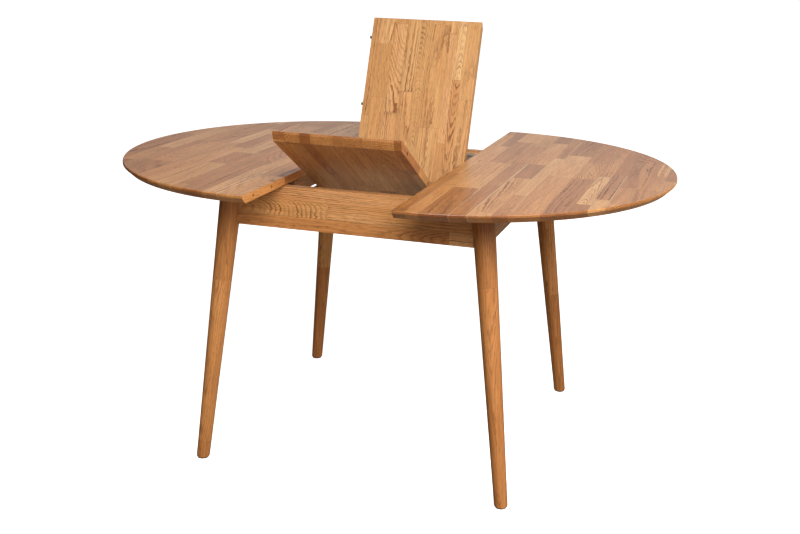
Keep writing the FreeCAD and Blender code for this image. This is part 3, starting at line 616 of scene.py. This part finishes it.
# %% Floor and walls
roller_width = 0.25  # matt wall paint, rolled on: bands as wide as the roller, hardly to be seen
paint_rough, paint_glow = 0.9, 0.85
paint, tree = new_material("white_studio_paint")
where = add(tree, "ShaderNodeTexCoord")
bands = add(tree, NOISE, None, {
    "Vector": where.outputs["Object"], "Scale": 1 / roller_width, "Detail": 3.0})
white = add(tree, MIX, COLOUR, {"Factor": bands, "A": linear("#fbfbfa"), "B": linear("#ffffff")})
shader = add(tree, "ShaderNodeBsdfPrincipled", None, {
    "Base Color": white, "Roughness": paint_rough,
    "Emission Color": white, "Emission Strength": paint_glow})
add(tree, "ShaderNodeOutputMaterial", None, {"Surface": shader})


def studio_sheet(name, points, faces):
    """A painted sheet that the camera sees and the table doesn't."""
    mesh = bpy.data.meshes.new(name)
    mesh.from_pydata(points, [], faces)
    mesh.materials.append(paint)
    sheet = bpy.data.objects.new(name, mesh)
    bpy.context.scene.collection.objects.link(sheet)
    sheet.visible_diffuse = False
    sheet.visible_glossy = False
    return sheet


reach, wall_height = 60.0, 60.0
corners = [(-reach, -reach, 0), (reach, -reach, 0), (reach, reach, 0), (-reach, reach, 0)]
wall_tops = [(x, y, wall_height) for x, y, level in corners]
wall_faces = [(at, (at + 1) % 4, (at + 1) % 4 + 4, at + 4) for at in range(4)]
studio_sheet("studio_floor", corners, [(0, 1, 2, 3)])
walls = studio_sheet("studio_walls", corners + wall_tops, wall_faces)
walls.visible_shadow = False
print("floor", 2 * reach, "m wide, walls", wall_height, "m high")

# %% [markdown]
# ## The air of the room
#
# A studio's walls and ceiling send back some light from everywhere, and a world shader stands in
# for them. Its colour goes by height, brownish below and white above. Three fades make it uneven,
# one for each direction: brighter behind the table, where the tops catch it as a pale sheen,
# brighter low down than high up, and darkest at the left.

# %% The air of the room
air_strength = 0.8
air_below, air_above, white_from = "#f0dcc0", "#ffffff", 0.58
air_between = [(0.22, "#b8a288"), (0.43, "#96826a")]
# Each fade: the direction, where the change begins and ends in it, and the light at both.
fades = [("Y", 0.6, 0.97, 0.5, 1.15), ("Z", 0.08, 0.36, 1.35, 0.75), ("X", -0.95, -0.35, 0.2, 1.0)]

world = bpy.data.worlds.new("studio")
bpy.context.scene.world = world
world.use_nodes = True
tree = world.node_tree
tree.nodes.clear()
where = add(tree, "ShaderNodeTexCoord")
way = add(tree, SPLIT, None, {0: where.outputs["Generated"]})
height = add(tree, RANGE, None, {0: way.outputs["Z"], 1: -1.0, 2: 1.0})
air = add(tree, "ShaderNodeValToRGB", None, {0: height})
stops = air.color_ramp.elements
for at, code in air_between:
    stops.new(at).color = linear(code)
stops[0].color, stops[-1].color, stops[-1].position = linear(air_below), linear(air_above), white_from
lit = air
for direction, begin, end, first, last in fades:
    fade = add(tree, RANGE, {"interpolation_type": "SMOOTHSTEP"}, {
        0: way.outputs[direction], 1: begin, 2: end, 3: first, 4: last})
    lit = add(tree, VECTOR, {"operation": "SCALE"}, {0: lit, "Scale": fade})
sky = add(tree, "ShaderNodeBackground", None, {"Color": lit, "Strength": air_strength})
add(tree, "ShaderNodeOutputWorld", None, {"Surface": sky})
print("air of the room:", len(tree.nodes), "nodes")

# %% [markdown]
# ## Lamps
#
# A broad softbox hangs high in front, and puts the apron in the shade of the overhanging top.
# A second one hangs at the right: it makes every edge that faces right bright orange, and leaves
# the left side of the legs dark. Blender's nearest thing to a softbox is an area lamp, and the
# larger the lamp is, the softer its shadows are.

# %% Lamps
def softbox(name, place, aim, size, power):
    """A round lamp, turned towards what it lights; size in metres and power in watts."""
    lamp = bpy.data.lights.new(name, "AREA")
    lamp.shape = "DISK"
    lamp.size = size
    lamp.energy = power
    holder = bpy.data.objects.new(name, lamp)
    holder.location = place
    holder.rotation_euler = (Vector(aim) - Vector(place)).to_track_quat("-Z", "Y").to_euler()
    bpy.context.scene.collection.objects.link(holder)


table_middle = (0, 0, 0.7)
softbox("key_softbox", (1.45, -3.1, 3.0), table_middle, 2.4, 145)
softbox("right_softbox", (3.1, -1.6, 2.7), table_middle, 2.8, 85)
bpy.context.scene.view_settings.view_transform = "Standard"
print("lamps:", [one.name for one in bpy.data.lights])

# %% [markdown]
# ## Camera
#
# The camera was found by fitting the table's known corners to the photo: it stands 2.8 m away,
# a little to the right of the front and 17 degrees above the table. The picture was cropped
# after it was taken, so its middle isn't the lens's middle, and a small shift puts that right.

# %% Place the camera
azimuth, elevation, roll = radians(16.1395), radians(16.8888), radians(1.4365)
aim = Vector((0.1507963, 0, 0.4698157))
distance = 2.8209549
picture_width = 800
focal_pixels = 1061.9314
lens_middle = 450.4546
farthest = 200  # metres; beyond the corners of the walls

back = Vector((sin(azimuth) * cos(elevation), -cos(azimuth) * cos(elevation), sin(elevation)))
level_right = (-back).cross(Vector((0, 0, 1))).normalized()
level_up = level_right.cross(-back)
right = cos(roll) * level_right + sin(roll) * level_up
up = cos(roll) * level_up - sin(roll) * level_right
camera = bpy.data.cameras.new("photo_camera")
camera.sensor_width = 36.0
camera.lens = focal_pixels / picture_width * camera.sensor_width
camera.shift_x = -(lens_middle - picture_width / 2) / picture_width
camera.clip_end = farthest
stand = bpy.data.objects.new("photo_camera", camera)
turn = Matrix((right, up, back)).transposed().to_4x4()
stand.matrix_world = Matrix.Translation(aim + back * distance) @ turn
bpy.context.scene.collection.objects.link(stand)
bpy.context.scene.camera = stand
print("lens", round(camera.lens, 2), "mm, shift", round(camera.shift_x, 4))
